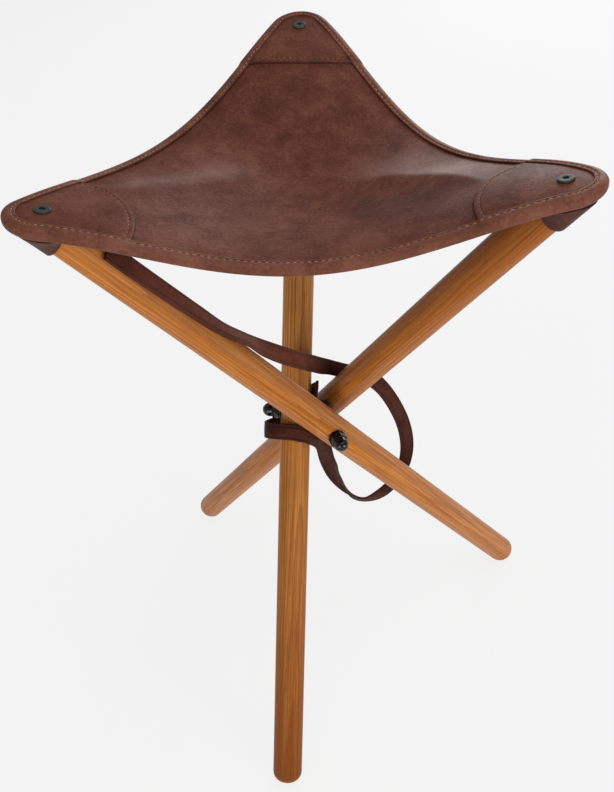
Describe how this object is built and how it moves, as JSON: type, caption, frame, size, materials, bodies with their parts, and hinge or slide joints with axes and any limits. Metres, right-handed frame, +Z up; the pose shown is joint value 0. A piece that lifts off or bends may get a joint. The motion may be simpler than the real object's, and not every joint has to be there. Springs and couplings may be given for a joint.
{
  "type": "folding hunting stool",
  "caption": "Folding tripod stool with round oak legs crossing on a three-way bolt, a stitched leather sling seat and a leather carry strap.",
  "frame": {"origin": "on the floor, under the middle of the standing stool's bounding box", "axes": "+Z up; -Y towards the foot of leg C, the front of the picture"},
  "size_m": [0.3862, 0.4376, 0.5892],
  "materials": {
    "oak": "oiled honey-coloured oak",
    "brown_leather": "dark red-brown waxed leather",
    "black_steel": "gloss black plated steel",
    "black_nylon": "black nylon",
    "dark_iron": "dark browned steel"
  },
  "bodies": {
    "hub": {"three_way_bolt": "black_steel", "spacer_a": "black_nylon", "washer_a": "black_steel", "cap_nut_a": "black_steel", "spacer_b": "black_nylon", "washer_b": "black_steel", "cap_nut_b": "black_steel", "spacer_c": "black_nylon", "washer_c": "black_steel", "cap_nut_c": "black_steel", "seat_panel": "brown_leather", "edge_binding": "brown_leather", "carry_strap": "brown_leather"},
    "folding_leg_a": {"leg_a": "oak", "corner_screw_a": "dark_iron", "corner_patch_a": "brown_leather", "corner_pocket_a": "brown_leather"},
    "folding_leg_b": {"leg_b": "oak", "corner_screw_b": "dark_iron", "corner_patch_b": "brown_leather", "corner_pocket_b": "brown_leather"},
    "folding_leg_c": {"leg_c": "oak", "corner_screw_c": "dark_iron", "corner_patch_c": "brown_leather", "corner_pocket_c": "brown_leather"}
  },
  "joints": [
    {"name": "fold_a", "type": "hinge", "parent": "hub", "child": "folding_leg_a", "pos_m": [-0.0126, 0.00071, 0.30287], "axis": [-0.5, 0.866, 0], "range_deg": [0, 35.3], "deforming": ["seat_panel", "edge_binding", "carry_strap", "corner_patch_a", "corner_pocket_a"]},
    {"name": "fold_b", "type": "hinge", "parent": "hub", "child": "folding_leg_b", "pos_m": [-0.0126, 0.00071, 0.30287], "axis": [-0.5, -0.866, 0], "range_deg": [0, 35.3], "deforming": ["corner_patch_b", "corner_pocket_b"]},
    {"name": "fold_c", "type": "hinge", "parent": "hub", "child": "folding_leg_c", "pos_m": [-0.0126, 0.00071, 0.30287], "axis": [1, 0, 0], "range_deg": [0, 35.3], "deforming": ["corner_patch_c", "corner_pocket_c"]}
  ],
  "couplings": [
    {"joint": "fold_b", "follows": "fold_a", "ratio": 1},
    {"joint": "fold_c", "follows": "fold_a", "ratio": 1}
  ]
}
